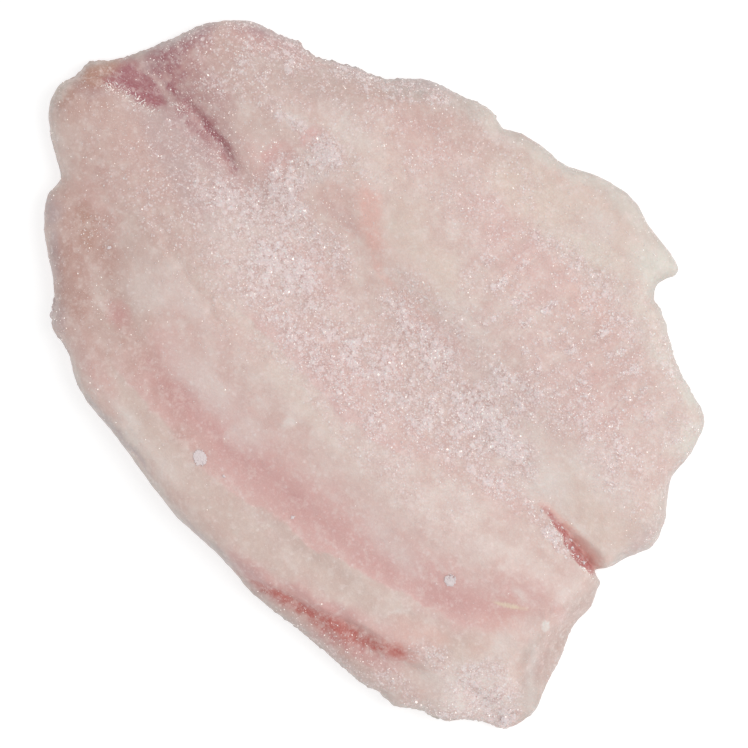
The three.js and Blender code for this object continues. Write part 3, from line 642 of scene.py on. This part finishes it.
class Tree:
    """A node tree that is built by adding nodes, each with its settings and then its sockets."""

    def __init__(self, tree):
        self.tree = tree
        self.tree.nodes.clear()

    def add(self, kind, settings=None, sockets=None, out=0):
        node = self.tree.nodes.new(kind)
        for key, value in (settings or {}).items():
            setattr(node, key, value)
        for key, value in (sockets or {}).items():
            if isinstance(value, Wire):
                self.tree.links.new(value.socket, node.inputs[key])
            else:
                node.inputs[key].default_value = value
        return Wire(self, node.outputs[out]) if len(node.outputs) else None

    def mix(self, share, first, second):
        """A colour between two, by a share from 0 to 1."""
        return self.add("ShaderNodeMix", {"data_type": "RGBA"},
                        {0: share, 6: opaque(first), 7: opaque(second)}, out=2)

    def attribute(self, name):
        return self.add("ShaderNodeAttribute", {"attribute_name": name}, out=2)

    def grain(self, size, detail=2.0, rough=0.5, shift=0.0):
        """Noise from 0 to 1 with features about `size` metres across."""
        place = self.add("ShaderNodeTexCoord", out=3)
        shifted = self.add("ShaderNodeMapping", None, {"Vector": place, "Location": (shift,) * 3})
        return self.add("ShaderNodeTexNoise", None,
                        {"Vector": shifted, "Scale": 1 / size, "Detail": detail, "Roughness": rough})

    def bent_place(self, size):
        """Object coordinates that wander, so that cells `size` metres across don't look drawn."""
        place = self.add("ShaderNodeTexCoord", out=3)
        bend = self.add("ShaderNodeTexNoise", None,
                        {"Vector": place, "Scale": 0.7 / size, "Detail": 1.0}, out=1)
        return self.add("ShaderNodeVectorMath", {"operation": "MULTIPLY_ADD"},
                        {0: bend, 1: (0.9 * size,) * 3, 2: place})

    def cells(self, size, bent):
        """Cells about `size` metres across: how far each place is from its cell's middle, and two
        numbers from 0 to 1 that each cell draws."""
        place = self.bent_place(size) if bent else self.add("ShaderNodeTexCoord", out=3)
        cell = self.add("ShaderNodeTexVoronoi", None, {"Vector": place, "Scale": 1 / size})
        drawn = self.add("ShaderNodeSeparateColor", None,
                         {"Color": Wire(self, cell.socket.node.outputs["Color"])})
        return cell, drawn, Wire(self, drawn.socket.node.outputs["Green"])

    def veins(self, size, width):
        """Thin lines between cells `size` metres across, which wander."""
        edge = self.add("ShaderNodeTexVoronoi", {"feature": "DISTANCE_TO_EDGE"},
                        {"Vector": self.bent_place(size), "Scale": 1 / size})
        return 1 - edge.rise(0.0, width)


def opaque(colour):
    return colour if isinstance(colour, Wire) or len(colour) == 4 else (*colour, 1)


def new_material(name):
    material = bpy.data.materials.new(name)
    material.use_nodes = True
    return material, Tree(material.node_tree)


def finish_surface(tree, sockets):
    surface = tree.add("ShaderNodeBsdfPrincipled", {"subsurface_method": "RANDOM_WALK"}, sockets)
    tree.add("ShaderNodeOutputMaterial", None, {"Surface": surface})


# The masks that tint the flesh, in the order in which they are laid on.
TINTS = ("cream", "dun", "rose", "peach", "russet", "pink", "rim", "mauve", "wine", "ochre", "blood",
         "pale", "fat", "slate")


def flesh_material(look):
    """Waxy, slightly see-through flesh: tints by the stored masks, some of them painted light and shade,
    mottling, and crusted frost on top, with painted shade between its crystals.
    """
    material, tree = new_material("frozen_flesh")
    mottle = tree.grain(5 * MM, 3, 0.6)
    cloud = tree.grain(1.8 * MM, 4, 0.65, shift=0.3)
    speck = tree.grain(0.4 * MM, 2, 0.7, shift=0.7)
    colour = tree.mix(mottle.rise(0.32, 0.68), look.flesh_dark, look.flesh)
    for name in TINTS:
        share = tree.attribute(name) * (0.4 + 0.7 * cloud + 0.5 * mottle + 0.5 * (speck - 0.5))
        colour = tree.mix(share.within_one(), colour, getattr(look, name))
    membrane = tree.attribute("cream") * tree.veins(8 * MM, 0.06) * (cloud - 0.2) * 0.4
    colour = tree.mix(membrane, colour, look.vein)

    milk = (tree.grain(2.6 * MM, 4, 0.75, shift=0.5) + 0.25 * (mottle - 0.5)).rise(0.48, 0.66)
    colour = tree.mix(milk * look.milk_share, colour, look.milk)
    colour = tree.mix(speck.rise(0.45, 0.8) * 0.35, colour, look.milk)

    frost = tree.attribute("frost") * (1 - 0.6 * tree.attribute("wine").within_one())
    colour = tree.mix((frost + 0.3 * (cloud - 0.5)).rise(0.05, 0.6) * look.haze_share, colour, look.haze)
    distance, drawn, tone = tree.cells(0.45 * MM, bent=False)
    lobe_distance, _, lobe_tone = tree.cells(1.4 * MM, bent=True)
    lobe = 1 - lobe_distance.rise(0.1, 0.75)
    # painted shade in the gaps between crystals and between heaps of frost
    gap_shades = (0.15 + frost) * (0.5 * distance.rise(0.25, 0.75) + 0.9 * (0.55 - speck) + 0.4 * (0.5 - lobe))
    colour = tree.mix((gap_shades * look.gap_shade_share).within_one(), colour, look.gap)
    cover = frost * (0.55 + 0.9 * cloud) - 0.1
    crystal = (cover - drawn).rise(-0.06, 0.14) * (1 - distance.rise(0.3, 0.9))
    packing = tree.attribute("clumps") + 0.8 * (lobe - 0.5) + 0.7 * (cloud - 0.5) + 0.4 * (speck - 0.5)
    heap = packing.rise(0.1, 0.9)
    tint = tree.mix(tone ** 4.0, look.powder, look.crystal)
    packed = tree.mix(lobe * lobe_tone * 0.5, look.powder, look.crystal)
    colour = tree.mix(heap * 0.75 * look.frost_share, colour, packed)
    colour = tree.mix(crystal * 0.8 * look.frost_share, colour, tint)
    roughness = look.roughness + 0.25 * crystal + 0.12 * (mottle - 0.5)
    height = 0.5 * cloud + 0.6 * speck * (0.5 + frost) + 0.5 * crystal * tone
    bump = tree.add("ShaderNodeBump", None, {"Strength": 0.75, "Distance": 0.25 * MM, "Height": height})
    finish_surface(tree, {
        "Base Color": colour,
        "Roughness": roughness,
        "Normal": bump,
        "IOR": 1.38,
        "Subsurface Weight": look.subsurface,
        "Subsurface Radius": (1.0, 0.6, 0.5),
        "Subsurface Scale": 0.8 * MM,
    })
    return material


def frost_material(name, look, tint_from, tint_to, see_through=0.0):
    """Frost between two tints, by the tone that each grain has been given and a slow change in place. The
    brightest grains glow a little, as painted glints.
    """
    material, tree = new_material(name)
    vary = tree.grain(0.8 * MM, 1)
    share = (tree.attribute("tone") + 0.5 * (vary - 0.5)).within_one()
    finish_surface(tree, {
        "Base Color": tree.mix(share, tint_from, tint_to),
        "Roughness": look.ice_roughness + 0.25 * vary,
        "IOR": 1.31,
        "Transmission Weight": see_through,
        # painted glints: the brightest grains glow, though they are no lamp
        "Emission Color": tree.mix(share.rise(0.35, 1.0), (0, 0, 0), tint_to),
        "Emission Strength": look.sparkle,
    })
    return material


def scatter_tree(name, grain_kind, grain_settings, grain_sockets):
    """Geometry nodes that scatter one kind of grain over a skin, where a stored mask says."""
    group = bpy.data.node_groups.new(name, "GeometryNodeTree")
    tree = Tree(group)
    group.interface.new_socket("Geometry", in_out="OUTPUT", socket_type="NodeSocketGeometry")
    sockets = [
        ("Skin", "NodeSocketGeometry"),
        ("Mask", "NodeSocketString"),
        ("Bare below", "NodeSocketFloat"),
        ("Grains per square metre", "NodeSocketFloat"),
        ("Least size", "NodeSocketFloat"),
        ("Greatest size", "NodeSocketFloat"),
        ("Shape", "NodeSocketVector"),
        ("Lean", "NodeSocketFloat"),
        ("Seed", "NodeSocketInt"),
        ("Finish", "NodeSocketMaterial"),
    ]
    for title, kind in sockets:
        group.interface.new_socket(title, in_out="INPUT", socket_type=kind)
    entry = group.nodes.new("NodeGroupInput")
    given = {title: Wire(tree, entry.outputs[title]) for title, _ in sockets}

    mask = tree.add("GeometryNodeInputNamedAttribute", {"data_type": "FLOAT"}, {"Name": given["Mask"]})
    share = tree.add("ShaderNodeMapRange", None,
                     {"Value": mask, "From Min": given["Bare below"], "From Max": 1.0})
    scatter = tree.add("GeometryNodeDistributePointsOnFaces", {"distribute_method": "RANDOM"},
                       {"Mesh": given["Skin"], "Density": share * given["Grains per square metre"],
                        "Seed": given["Seed"]})
    turned = Wire(tree, scatter.socket.node.outputs["Rotation"])
    shape = tree.add(grain_kind, grain_settings, grain_sockets)

    def chance(least, most, offset, kind="FLOAT"):
        """A random value for each point."""
        first = {"FLOAT": 2, "FLOAT_VECTOR": 0}[kind]
        out = {"FLOAT": 1, "FLOAT_VECTOR": 0}[kind]
        return tree.add("FunctionNodeRandomValue", {"data_type": kind},
                        {first: least, first + 1: most, "Seed": given["Seed"] + offset}, out=out)

    draw = chance(0.0, 1.0, 1) ** 2.2
    size = given["Least size"] + draw * (given["Greatest size"] - given["Least size"])
    uneven = chance((0.6, 0.6, 0.6), (1.3, 1.3, 1.3), 2, "FLOAT_VECTOR")
    proportion = tree.add("ShaderNodeVectorMath", {"operation": "MULTIPLY"},
                          {0: uneven, 1: given["Shape"]})
    scale = tree.add("ShaderNodeVectorMath", {"operation": "SCALE"}, {0: proportion, "Scale": size})
    low = tree.add("ShaderNodeCombineXYZ", None,
                   {"X": 0 - given["Lean"], "Y": 0 - given["Lean"], "Z": 0.0})
    high = tree.add("ShaderNodeCombineXYZ", None,
                    {"X": given["Lean"], "Y": given["Lean"], "Z": 2 * math.pi})
    tip = chance(low, high, 3, "FLOAT_VECTOR")
    turn = tree.add("FunctionNodeRotateRotation", {"rotation_space": "LOCAL"},
                    {0: turned, 1: tree.add("FunctionNodeEulerToRotation", None, {0: tip})})
    placed = tree.add("GeometryNodeInstanceOnPoints", None,
                      {"Points": scatter, "Instance": shape, "Rotation": turn, "Scale": scale})
    toned = tree.add("GeometryNodeStoreNamedAttribute", {"data_type": "FLOAT", "domain": "INSTANCE"},
                     {"Geometry": placed, "Name": "tone", "Value": chance(0.0, 1.0, 4) ** 3.0})
    real = tree.add("GeometryNodeRealizeInstances", None, {"Geometry": toned})
    flat = tree.add("GeometryNodeSetShadeSmooth", None, {"Geometry": real, "Shade Smooth": False})
    done = tree.add("GeometryNodeSetMaterial", None, {"Geometry": flat, "Material": given["Finish"]})
    tree.add("NodeGroupOutput", None, {0: done})
    return group


def scattered_mesh(skin, group, values):
    """The plain mesh that a scatter tree makes over the flesh."""
    holder = in_scene("scatter", skin.data.copy())
    modifier = holder.modifiers.new("Scatter", "NODES")
    modifier.node_group = group
    for item in group.interface.items_tree:
        if item.in_out == "INPUT" and item.name in values:
            modifier[item.identifier] = values[item.name]
    return finished_mesh(holder)


def colour_property(title, description, default):
    return FloatVectorProperty(name=title, description=description, subtype="COLOR", size=3, min=0, max=1,
                               default=default)


def length_property(title, description, default):
    return FloatProperty(name=title, description=description, unit="LENGTH", min=0, default=default,
                         precision=5)


def share_property(title, description, default):
    return FloatProperty(name=title, description=description, subtype="FACTOR", min=0, max=1,
                         default=default)


def number_property(title, description, default):
    return FloatProperty(name=title, description=description, min=0, default=default)


def from_screen(red, green, blue):
    """A colour given as it shows on a screen, 0 to 255, as the linear values that a shader takes."""
    return tuple(((c / 255 + 0.055) / 1.055) ** 2.4 for c in (red, green, blue))


class FleshSettings(bpy.types.PropertyGroup):
    """Sizes and colours of the flesh."""

    cell: length_property("Cell", "Width of the skin's faces", 0.52 * MM)
    swell: length_property("Swell", "Height of the broad unevenness of the cut", 0.22 * MM)
    valley: length_property("Valley", "Depth of the trough of the red muscle band", 0.3 * MM)
    step: length_property("Step", "Height of the torn edges of membrane and band", 0.18 * MM)
    gash: length_property("Gash", "Depth of the torn gash by the dorsal edge", 0.9 * MM)
    groove: length_property("Groove", "Depth of the split at the tail", 0.9 * MM)
    crease: length_property("Crease", "Depth of the fine creases", 0.3 * MM)
    crest: length_property("Crest", "Height of the crest by the cut at the head end", 0.35 * MM)
    rib: length_property("Rib", "Height of the rib marks in the belly lobe", 0.07 * MM)
    frost_depth: length_property("Frost depth", "Roughness that packed frost gives the skin", 0.14 * MM)
    flesh: colour_property("Flesh", "Main colour", from_screen(222, 204, 196))
    flesh_dark: colour_property("Flesh, darker", "Main colour where denser", from_screen(212, 186, 178))
    rose: colour_property("Rose", "Pale pink flushes", from_screen(222, 182, 177))
    pink: colour_property("Pink", "Red muscle band", from_screen(202, 150, 147))
    russet: colour_property("Russet", "Browner flesh towards the tail", from_screen(194, 158, 148))
    # Painted shade on the steep sides and on patches.
    dun: colour_property("Dun", "Duller flesh towards the edges", from_screen(201, 178, 169))
    peach: colour_property("Peach", "Warm flushes", from_screen(228, 187, 177))
    # Fatty flap and outer band, and painted light on the belly's bulge and on its slope down to the slit.
    cream: colour_property("Cream", "Fatty flap and outer band", from_screen(221, 203, 191))
    # Painted light on thin edges, as if lit through from behind.
    rim: colour_property("Rim", "Thin see-through edges", from_screen(222, 217, 207))
    # Painted shade on see-through edges, and a grey-mauve tint of the underside and of some patches.
    mauve: colour_property("Mauve", "Shaded, see-through edges", from_screen(174, 156, 162))
    wine: colour_property("Wine", "Dark flesh of the split at the tail", from_screen(166, 104, 112))
    # Brown flesh of the tail's tip, and painted shade along the fold of the flap.
    ochre: colour_property("Ochre", "Brown flesh of the tail's tip", from_screen(182, 140, 122))
    blood: colour_property("Blood", "Blood in the gash and the slit", from_screen(186, 104, 96))
    # White membrane, and painted light where flesh faces from the lamp and beside the head's crest.
    pale: colour_property("Pale", "Patches of white membrane", from_screen(230, 220, 214))
    fat: colour_property("Fat", "Threads of yellowish fat", from_screen(238, 226, 200))
    # Painted shade on thin edges and on the head's cut face.
    slate: colour_property("Slate", "Thin edges that the ground darkens", from_screen(180, 177, 170))
    milk: colour_property("Milk", "Soft pale mottles", from_screen(231, 216, 210))
    vein: colour_property("Vein", "Fine lines of membrane", from_screen(232, 222, 212))
    # Painted shade between crystals of frost.
    gap: colour_property("Gap", "Flesh between crystals of frost", from_screen(184, 143, 137))
    powder: colour_property("Powder", "Packed frost", from_screen(233, 216, 215))
    crystal: colour_property("Crystal", "The brightest crystals of the crust", from_screen(252, 248, 246))
    haze: colour_property("Haze", "Thin frost, like a breath on the flesh", from_screen(227, 204, 200))
    haze_share: share_property("Haze share", "How far the haze hides the flesh", 0.4)
    # How strong the painted shade between crystals is.
    milk_share: share_property("Milk share", "How strong the soft pale mottles are", 0.35)
    gap_shade_share: share_property("Gap share", "How dark the gaps between crystals are", 0.75)
    frost_share: share_property("Frost share", "How far powder frost hides the flesh", 0.8)
    roughness: share_property("Roughness", "Roughness of bare flesh", 0.42)
    subsurface: share_property("Subsurface", "How much of the light enters the flesh", 0.28)


class FrostSettings(bpy.types.PropertyGroup):
    """Sizes and numbers of the frost's grains."""

    powder_size: length_property("Powder size", "Greatest grain of the powder", 0.28 * MM)
    grain_size: length_property("Grain size", "Greatest loose ice grain", 0.5 * MM)
    flake_size: length_property("Flake size", "Greatest flake", 0.8 * MM)
    needle_size: length_property("Needle size", "Longest hoar needle", 1.7 * MM)
    powder_density: number_property("Powder density", "Powder grains per square metre", 5.5e6)
    grain_density: number_property("Grain density", "Ice grains per square metre", 2.7e6)
    flake_density: number_property("Flake density", "Flakes per square metre", 2.0e5)
    needle_density: number_property("Needle density", "Needles per square metre", 9.0e6)
    seed: IntProperty(name="Seed", description="Seed of the scatter", default=7)
    white: colour_property("White", "The brightest frost", from_screen(255, 251, 246))
    thin: colour_property("Thin", "Frost where it is thin", from_screen(226, 209, 207))
    snow: colour_property("Snow", "Packed lumps of snow", from_screen(222, 209, 209))
    # Painted glints: how strongly the brightest grains glow.
    sparkle: number_property("Sparkle", "How much light the brightest grains send out", 0.4)
    ice_roughness: share_property("Ice roughness", "Roughness of the ice", 0.15)


class StageSettings(bpy.types.PropertyGroup):
    """The camera, the lights and the floor."""

    frame_width: length_property("Frame width", "Width of what the camera sees at the flesh", 171.46 * MM)
    lens: FloatProperty(name="Lens", description="Focal length in millimetres", min=1, default=200)
    sky: number_property("Sky", "Light from all around", 0.705)
    lamp: FloatProperty(name="Lamp", description="Power of the soft lamp", unit="POWER", min=0, default=5.4)
    floor: colour_property("Floor", "Colour of the floor", (0.5, 0.5, 0.5))
    floor_glow: number_property("Floor glow", "Light that the floor gives, which softens shadows", 0.6)


class FILLET_OT_flesh(bpy.types.Operator):
    """Make the flesh over the fillet's solid"""

    bl_idname = "fillet.flesh"
    bl_label = "Flesh"

    def execute(self, context):
        size = context.scene.fillet_flesh
        mesh = thin_underside(even_skin(size.cell))
        skin = Skin(mesh)
        frost = frost_cover(skin)
        masks = {**colour_masks(skin), "frost": frost, "clumps": clump_cover(skin, frost),
                 "grains": grain_cover(skin), "hoar": hoar_cover(skin)}
        lift = skin.top * top_relief(skin, frost, masks["clumps"], size)
        lift += skin.under * under_relief(skin, size)
        rough = skin.patches("ragged") * (0.5 * skin.fine + 0.5 * skin.heaps - 0.1)
        sideways = skin.side * (0.25 * skin.middling + 0.14 * skin.small + rough)
        co = skin.co + skin.normal * sideways[:, None]
        co[:, 2] = np.maximum(co[:, 2] + lift, 0)
        mesh.vertices.foreach_set("co", (co * MM).ravel().astype(np.float32))
        for name, values in masks.items():
            store(mesh, name, np.clip(values, 0, 1))
        mesh.shade_smooth()
        piece = add_piece("fillet_flesh", mesh, flesh_material(size))
        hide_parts(NODE)
        return {"FINISHED"}


# The grains: the node that makes each, its settings and its sockets.
SPLINTER = ("GeometryNodeMeshCone", None, {"Vertices": 3, "Radius Bottom": 0.6, "Depth": 0.9})
OCTAHEDRON = ("GeometryNodeMeshUVSphere", None, {"Segments": 4, "Rings": 2, "Radius": 0.5})
HEXAGON = ("GeometryNodeMeshCylinder", None, {"Vertices": 6, "Radius": 0.5, "Depth": 1.0})


def add_scatter(name, grain, material, values):
    """Adds a piece of grains scattered over the flesh."""
    skin = bpy.data.objects["fillet_flesh"]
    mesh = scattered_mesh(skin, scatter_tree(name, *grain), {"Finish": material, **values})
    return add_piece(name, mesh)


class FILLET_OT_powder(bpy.types.Operator):
    """Scatter powder frost over the flesh"""

    bl_idname = "fillet.powder"
    bl_label = "Powder frost"

    def execute(self, context):
        frost = context.scene.fillet_frost
        material = frost_material("powder_frost", frost, frost.thin, frost.white)
        add_scatter("frost_powder", SPLINTER, material, {
            "Mask": "frost", "Bare below": 0.22, "Grains per square metre": frost.powder_density,
            "Least size": 0.12 * MM, "Greatest size": frost.powder_size, "Shape": (1, 1, 0.8),
            "Lean": 1.2, "Seed": frost.seed})
        return {"FINISHED"}


class FILLET_OT_grains(bpy.types.Operator):
    """Scatter loose grains of ice over the flesh"""

    bl_idname = "fillet.grains"
    bl_label = "Ice grains"

    def execute(self, context):
        frost = context.scene.fillet_frost
        material = frost_material("ice_grain", frost, frost.thin, frost.white)
        add_scatter("frost_grains", OCTAHEDRON, material, {
            "Mask": "grains", "Bare below": 0.01, "Grains per square metre": frost.grain_density,
            "Least size": 0.2 * MM, "Greatest size": frost.grain_size, "Shape": (1, 0.9, 0.8),
            "Lean": 3.0, "Seed": frost.seed + 10})
        return {"FINISHED"}


class FILLET_OT_flakes(bpy.types.Operator):
    """Scatter flakes of frost over the flesh"""

    bl_idname = "fillet.flakes"
    bl_label = "Flakes"

    def execute(self, context):
        frost = context.scene.fillet_frost
        material = frost_material("frost_flake", frost, frost.thin, frost.white)
        add_scatter("frost_flakes", HEXAGON, material, {
            "Mask": "frost", "Bare below": 0.35, "Grains per square metre": frost.flake_density,
            "Least size": 0.4 * MM, "Greatest size": frost.flake_size, "Shape": (1, 0.8, 0.16),
            "Lean": 0.5, "Seed": frost.seed + 20})
        return {"FINISHED"}


class FILLET_OT_hoar(bpy.types.Operator):
    """Stand needles of hoar frost along the split at the tail and the slit"""

    bl_idname = "fillet.hoar"
    bl_label = "Hoar needles"

    def execute(self, context):
        frost = context.scene.fillet_frost
        material = frost_material("hoar_needle", frost, frost.white, frost.white)
        add_scatter("hoar_needles", OCTAHEDRON, material, {
            "Mask": "hoar", "Bare below": 0.1, "Grains per square metre": frost.needle_density,
            "Least size": 0.6 * MM, "Greatest size": frost.needle_size, "Shape": (0.16, 0.16, 1),
            "Lean": 1.3, "Seed": frost.seed + 30})
        return {"FINISHED"}


def skin_above(mesh):
    """A function that gives the height of the flesh over a place, with places and heights in mm."""
    tree = BVHTree.FromPolygons([v.co for v in mesh.vertices], [p.vertices for p in mesh.polygons])

    def height(x, y):
        hit = tree.ray_cast(Vector((x * MM, y * MM, 0.1)), Vector((0, 0, -1)))[0]
        if hit is None:
            raise RuntimeError(f"nothing lies under {x}, {y}")
        return hit.z / MM

    return height


# Lumps of packed snow: x, y, half length, half width, turn in degrees, height, grain.
SNOW_LUMPS = [
    (-4.5, -49.8, 2.2, 1.7, -30, 0.3, 0.4), (54, -26.2, 1.6, 1.5, 0, 0.25, 0.35),
    (19.5, -43.3, 0.4, 0.6, 0, 0.3, 0.3), (2.1, -48.6, 0.5, 0.4, 0, 0.3, 0.3),
    (-54, -33.3, 0.5, 0.6, 0, 0.3, 0.35), (86.5, -38.5, 1.0, 0.8, 0, 0.4, 0.5),
    (65.8, 0.2, 0.5, 0.35, 0, 0.3, 0.3), (67.3, -0.6, 0.35, 0.3, 0, 0.3, 0.25),
    (62.4, 0.7, 0.5, 0.25, 0, 0.2, 0.3), (69.6, -1.1, 0.4, 0.3, 0, 0.3, 0.3),
    (71.6, -1.0, 0.4, 0.3, 0, 0.3, 0.3), (56.4, -0.2, 0.5, 0.4, 0, 0.3, 0.3),
]


def balls_mesh(balls, subdivisions):
    """One mesh of many balls, each with its middle and its three radii in mm, and its turn."""
    unit = bmesh.new()
    bmesh.ops.create_icosphere(unit, subdivisions=subdivisions, radius=1)
    round_verts = np.array([v.co for v in unit.verts])
    round_faces = np.array([[v.index for v in face.verts] for face in unit.faces])
    unit.free()
    verts, faces = [], []
    for count, (middle, radii, turn) in enumerate(balls):
        c, s = math.cos(turn), math.sin(turn)
        spin = np.array([(c, s, 0), (-s, c, 0), (0, 0, 1)])
        verts.append((round_verts * radii) @ spin + middle)
        faces.append(round_faces + count * len(round_verts))
    mesh = bpy.data.meshes.new("balls")
    mesh.from_pydata((np.vstack(verts) * MM).tolist(), [], np.vstack(faces).tolist())
    return mesh


def lump_mesh(height):
    """Low domes of packed grains that lie on the flesh."""
    draw = random.Random(SNOW_SEED)
    balls = []
    for x, y, half_x, half_y, degrees, thick, grain in SNOW_LUMPS:
        turn = math.radians(degrees)
        balls.append(((x, y, height(x, y)), (0.8 * half_x, 0.8 * half_y, thick), turn))
        for _ in range(int(5 * half_x * half_y / grain**2)):
            angle = draw.uniform(0, 2 * math.pi)
            reach = 0.9 * math.sqrt(draw.random())
            u, v = reach * half_x * math.cos(angle), reach * half_y * math.sin(angle)
            px = x + u * math.cos(turn) - v * math.sin(turn)
            py = y + u * math.sin(turn) + v * math.cos(turn)
            pz = height(px, py) + 0.8 * thick * math.sqrt(1 - reach**2)
            radii = [0.5 * grain * draw.uniform(0.6, 1.2) for _ in range(3)]
            balls.append(((px, py, pz), radii, draw.uniform(0, math.pi)))
    return remeshed(balls_mesh(balls, 2), SNOW_CELL)


class FILLET_OT_lumps(bpy.types.Operator):
    """Lay lumps of packed snow on the flesh"""

    bl_idname = "fillet.lumps"
    bl_label = "Snow lumps"

    def execute(self, context):
        frost = context.scene.fillet_frost
        height = skin_above(bpy.data.objects["fillet_flesh"].data)
        material = frost_material("packed_snow", frost, frost.snow, frost.white)
        add_piece("frost_lumps", lump_mesh(height), material)
        return {"FINISHED"}


# The clear ice in the notch of the dorsal edge: x, y, z and radius of its bulges.
EDGE_ICE = [
    (-53.2, -50.3, 3.2, 1.3), (-52.0, -51.3, 2.6, 1.7), (-50.6, -52.4, 2.4, 1.9), (-49.4, -53.2, 2.2, 1.9),
    (-47.8, -53.6, 2.2, 1.7), (-46.4, -54.3, 2.0, 1.4), (-45.0, -54.9, 1.9, 1.2), (-50.2, -51.0, 3.4, 1.4),
    (-48.4, -52.2, 3.2, 1.3), (-46.8, -53.2, 3.0, 1.1), (-43.4, -55.6, 1.6, 0.9), (-51.4, -53.2, 1.6, 1.2),
]


class FILLET_OT_ice(bpy.types.Operator):
    """Freeze a lump of clear ice to the dorsal edge"""

    bl_idname = "fillet.ice"
    bl_label = "Edge ice"

    def execute(self, context):
        frost = context.scene.fillet_frost
        balls = [((x, y, max(z, radius)), (radius,) * 3, 0) for x, y, z, radius in EDGE_ICE]
        mesh = remeshed(balls_mesh(balls, 3), ICE_CELL, 4)
        mesh.shade_smooth()
        material = frost_material("clear_ice", frost, frost.thin, frost.white, 0.4)
        add_piece("edge_ice", mesh, material)
        return {"FINISHED"}


class FILLET_OT_stage(bpy.types.Operator):
    """Set the floor, the lights and the camera"""

    bl_idname = "fillet.stage"
    bl_label = "Stage"

    def execute(self, context):
        stage = context.scene.fillet_stage
        scene = context.scene
        scene.view_settings.view_transform = "Standard"

        world = bpy.data.worlds.new("sky")
        world.use_nodes = True
        sky = Tree(world.node_tree)
        light = sky.add("ShaderNodeBackground", None, {"Color": (1, 1, 1, 1), "Strength": stage.sky})
        sky.add("ShaderNodeOutputWorld", None, {"Surface": light})
        scene.world = world

        plate = bmesh.new()
        bmesh.ops.create_grid(plate, x_segments=1, y_segments=1, size=FLOOR_HALF_WIDTH)
        mesh = bpy.data.meshes.new("floor")
        plate.to_mesh(mesh)
        plate.free()
        mesh.transform(Matrix.Translation((0, 0, -FLOOR_DROP)))
        floor = in_scene("floor", mesh)
        material, tree = new_material("floor_paper")
        speckle = tree.grain(30 * MM)
        finish_surface(tree, {
            "Base Color": tree.mix(speckle * 0.05, stage.floor, (1, 1, 1)),
            "Roughness": 0.9,
            "Emission Color": (1, 1, 1, 1),
            "Emission Strength": stage.floor_glow,
        })
        mesh.materials.append(material)

        distance = stage.frame_width * stage.lens / SENSOR_WIDTH
        camera = bpy.data.objects.new("camera", bpy.data.cameras.new("camera"))
        camera.data.lens = stage.lens
        camera.data.sensor_width = SENSOR_WIDTH
        camera.data.clip_start = 0.05
        camera.data.clip_end = 20
        camera.location = PICTURE_MIDDLE + Vector((0, 0, distance))
        camera.rotation_euler = (0, 0, PICTURE_TURN)
        scene.collection.objects.link(camera)
        scene.camera = camera

        lamp = bpy.data.objects.new("lamp", bpy.data.lights.new("lamp", "AREA"))
        lamp.data.shape = "DISK"
        lamp.data.size = LAMP_WIDTH
        lamp.data.energy = stage.lamp
        across = Vector((math.cos(LAMP_TURN), math.sin(LAMP_TURN), 0))
        lamp.location = PICTURE_MIDDLE + across * LAMP_AWAY + Vector((0, 0, LAMP_UP))
        lamp.rotation_euler = (PICTURE_MIDDLE - lamp.location).to_track_quat("-Z", "Y").to_euler()
        lamp.visible_camera = False
        scene.collection.objects.link(lamp)
        return {"FINISHED"}


OPERATORS = (FILLET_OT_flesh, FILLET_OT_powder, FILLET_OT_grains, FILLET_OT_flakes, FILLET_OT_hoar,
             FILLET_OT_lumps, FILLET_OT_ice, FILLET_OT_stage)
SETTINGS = {"fillet_flesh": FleshSettings, "fillet_frost": FrostSettings, "fillet_stage": StageSettings}


class FILLET_PT_panel(bpy.types.Panel):
    """Lists the steps that build the fillet, and their settings"""

    bl_idname = "FILLET_PT_panel"
    bl_label = "Frozen Fillet"
    bl_space_type = "VIEW_3D"
    bl_region_type = "UI"
    bl_category = "Fillet"

    def draw(self, context):
        for operator in OPERATORS:
            self.layout.operator(operator.bl_idname)
        for name, group in SETTINGS.items():
            box = self.layout.box()
            for key in group.__annotations__:
                box.prop(getattr(context.scene, name), key)


CLASSES = (*SETTINGS.values(), *OPERATORS, FILLET_PT_panel)


def register():
    for cls in CLASSES:
        bpy.utils.register_class(cls)
    for name, group in SETTINGS.items():
        setattr(bpy.types.Scene, name, PointerProperty(type=group))


def unregister():
    for name in SETTINGS:
        delattr(bpy.types.Scene, name)
    for cls in reversed(CLASSES):
        bpy.utils.unregister_class(cls)


def main():
    register()
    bpy.ops.fillet.flesh()
    bpy.ops.fillet.powder()
    bpy.ops.fillet.grains()
    bpy.ops.fillet.flakes()
    bpy.ops.fillet.hoar()
    bpy.ops.fillet.lumps()
    bpy.ops.fillet.ice()
    bpy.ops.fillet.stage()


if __name__ == "__main__":
    main()
